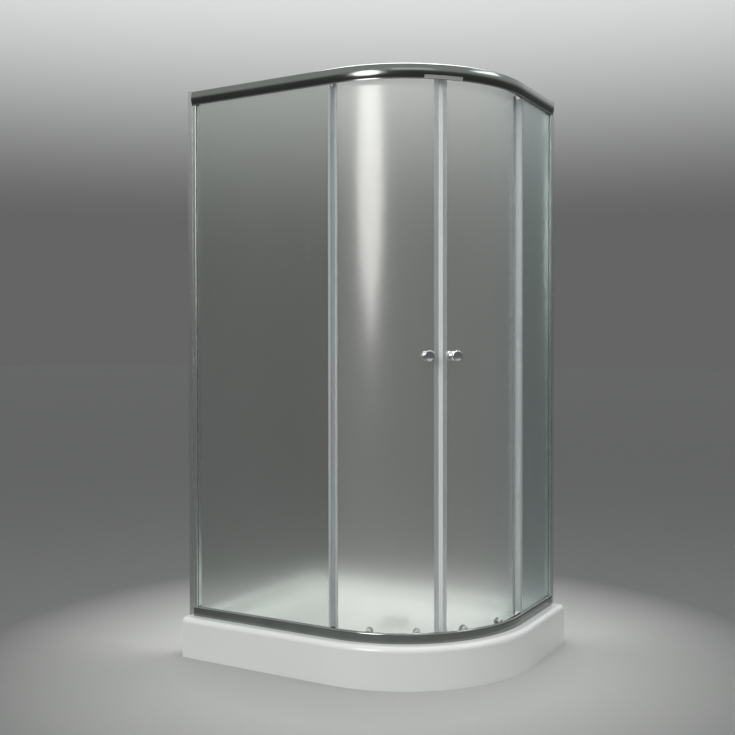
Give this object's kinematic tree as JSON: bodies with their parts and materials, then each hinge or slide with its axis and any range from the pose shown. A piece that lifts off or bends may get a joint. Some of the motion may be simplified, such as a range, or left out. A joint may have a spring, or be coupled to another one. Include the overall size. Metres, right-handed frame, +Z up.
{
  "type": "quadrant shower enclosure",
  "caption": "Offset quadrant shower enclosure with satin glass, curved double sliding doors on rollers, bright rails and wall profiles, and a low white tray with waste.",
  "frame": {"origin": "on the floor, under the centre of the tray's plan box", "axes": "+Z up, +X along the long side with the left wall at -X, +Y towards the rear wall, rounded corner towards +X and -Y"},
  "size_m": [1.2, 0.9, 2.15],
  "materials": {
    "tray_acrylic": "polished white acrylic",
    "board_wood": "raw chipboard",
    "foot_plastic": "moulded",
    "zinc_steel": "zinc plated",
    "stainless_steel": "machined",
    "waste_plastic": "moulded",
    "chrome": "polished chrome plate",
    "polished_aluminium": "polished and anodised",
    "bright_aluminium": "bright anodised",
    "satin_glass": "satin, toughened",
    "clear_seal": "translucent soft vinyl",
    "magnet": "magnetic rubber strip",
    "rubber": "soft black rubber",
    "block_plastic": "moulded grey nylon",
    "roller_nylon": "moulded nylon"
  },
  "bodies": {
    "root": {"tray_shell": "tray_acrylic", "tray_board": "board_wood", "foot_sockets": "foot_plastic", "foot_studs": "zinc_steel", "foot_nuts": "zinc_steel", "foot_pads": "foot_plastic", "waste_flange": "chrome", "waste_seal": "rubber", "waste_body": "waste_plastic", "waste_outlet_nut": "waste_plastic", "trap_cup": "waste_plastic", "bottom_rail": "polished_aluminium", "top_rail": "polished_aluminium", "corner_blocks": "block_plastic", "corner_screws": "stainless_steel", "profile_caps": "block_plastic", "post_screws": "stainless_steel", "seal_plugs": "rubber", "door_stops": "rubber", "wall_profile_left": "bright_aluminium", "side_post_left": "bright_aluminium", "fixed_glass_left": "satin_glass", "glazing_gasket_left": "rubber", "fixed_seal_left": "clear_seal", "wall_profile_right": "bright_aluminium", "side_post_right": "bright_aluminium", "fixed_glass_right": "satin_glass", "glazing_gasket_right": "rubber", "fixed_seal_right": "clear_seal"},
    "waste_cover": {"waste_cover": "chrome"},
    "door_left": {"door_glass_left": "satin_glass", "magnet_seal_left": "clear_seal", "magnet_strip_left": "magnet", "rear_seal_left": "clear_seal", "roller_stems_top_left": "stainless_steel", "roller_stems_bottom_left": "stainless_steel", "roller_caps_left": "chrome", "knob_outer_left": "chrome", "knob_inner_left": "chrome", "knob_washers_left": "clear_seal"},
    "wheel_top_rear_left": {"wheel_top_rear_left": "roller_nylon"},
    "wheel_top_front_left": {"wheel_top_front_left": "roller_nylon"},
    "wheel_bottom_rear_left": {"wheel_bottom_rear_left": "roller_nylon"},
    "wheel_bottom_front_left": {"wheel_bottom_front_left": "roller_nylon"},
    "door_right": {"door_glass_right": "satin_glass", "magnet_seal_right": "clear_seal", "magnet_strip_right": "magnet", "rear_seal_right": "clear_seal", "roller_stems_top_right": "stainless_steel", "roller_stems_bottom_right": "stainless_steel", "roller_caps_right": "chrome", "knob_outer_right": "chrome", "knob_inner_right": "chrome", "knob_washers_right": "clear_seal"},
    "wheel_top_rear_right": {"wheel_top_rear_right": "roller_nylon"},
    "wheel_top_front_right": {"wheel_top_front_right": "roller_nylon"},
    "wheel_bottom_rear_right": {"wheel_bottom_rear_right": "roller_nylon"},
    "wheel_bottom_front_right": {"wheel_bottom_front_right": "roller_nylon"}
  },
  "joints": [
    {"name": "waste_cover_lift", "type": "slide", "parent": "root", "child": "waste_cover", "axis": [0, 0, 1], "range_m": [0, 0.04]},
    {"name": "door_left_slide", "type": "hinge", "parent": "root", "child": "door_left", "pos_m": [0.05, 0.1, 1.15], "axis": [0, 0, -1], "range_deg": [0, 25]},
    {"name": "wheel_top_rear_left_spin", "type": "hinge", "parent": "door_left", "child": "wheel_top_rear_left", "pos_m": [0.17017, -0.37143, 2.1253], "axis": [0.247, -0.969, 0], "continuous": true},
    {"name": "wheel_top_front_left_spin", "type": "hinge", "parent": "door_left", "child": "wheel_top_front_left", "pos_m": [0.32556, -0.30094, 2.1253], "axis": [0.5664, -0.8241, 0], "continuous": true},
    {"name": "wheel_bottom_rear_left_spin", "type": "hinge", "parent": "door_left", "child": "wheel_bottom_rear_left", "pos_m": [0.17017, -0.37143, 0.1833], "axis": [0.247, -0.969, 0], "continuous": true},
    {"name": "wheel_bottom_front_left_spin", "type": "hinge", "parent": "door_left", "child": "wheel_bottom_front_left", "pos_m": [0.32556, -0.30094, 0.1833], "axis": [0.5664, -0.8241, 0], "continuous": true},
    {"name": "door_right_slide", "type": "hinge", "parent": "root", "child": "door_right", "pos_m": [0.05, 0.1, 1.15], "axis": [0, 0, 1], "range_deg": [0, 25]},
    {"name": "wheel_top_rear_right_spin", "type": "hinge", "parent": "door_right", "child": "wheel_top_rear_right", "pos_m": [0.52143, -0.02016, 2.1253], "axis": [0.969, -0.247, 0], "continuous": true},
    {"name": "wheel_top_front_right_spin", "type": "hinge", "parent": "door_right", "child": "wheel_top_front_right", "pos_m": [0.45094, -0.17556, 2.1253], "axis": [0.8241, -0.5664, 0], "continuous": true},
    {"name": "wheel_bottom_rear_right_spin", "type": "hinge", "parent": "door_right", "child": "wheel_bottom_rear_right", "pos_m": [0.52143, -0.02016, 0.1833], "axis": [0.969, -0.247, 0], "continuous": true},
    {"name": "wheel_bottom_front_right_spin", "type": "hinge", "parent": "door_right", "child": "wheel_bottom_front_right", "pos_m": [0.45094, -0.17556, 0.1833], "axis": [0.8241, -0.5664, 0], "continuous": true}
  ],
  "couplings": [
    {"joint": "wheel_top_rear_left_spin", "follows": "door_left_slide", "ratio": 44.227},
    {"joint": "wheel_top_front_left_spin", "follows": "door_left_slide", "ratio": 44.227},
    {"joint": "wheel_bottom_rear_left_spin", "follows": "door_left_slide", "ratio": 44.227},
    {"joint": "wheel_bottom_front_left_spin", "follows": "door_left_slide", "ratio": 44.227},
    {"joint": "wheel_top_rear_right_spin", "follows": "door_right_slide", "ratio": -44.227},
    {"joint": "wheel_top_front_right_spin", "follows": "door_right_slide", "ratio": -44.227},
    {"joint": "wheel_bottom_rear_right_spin", "follows": "door_right_slide", "ratio": -44.227},
    {"joint": "wheel_bottom_front_right_spin", "follows": "door_right_slide", "ratio": -44.227}
  ]
}
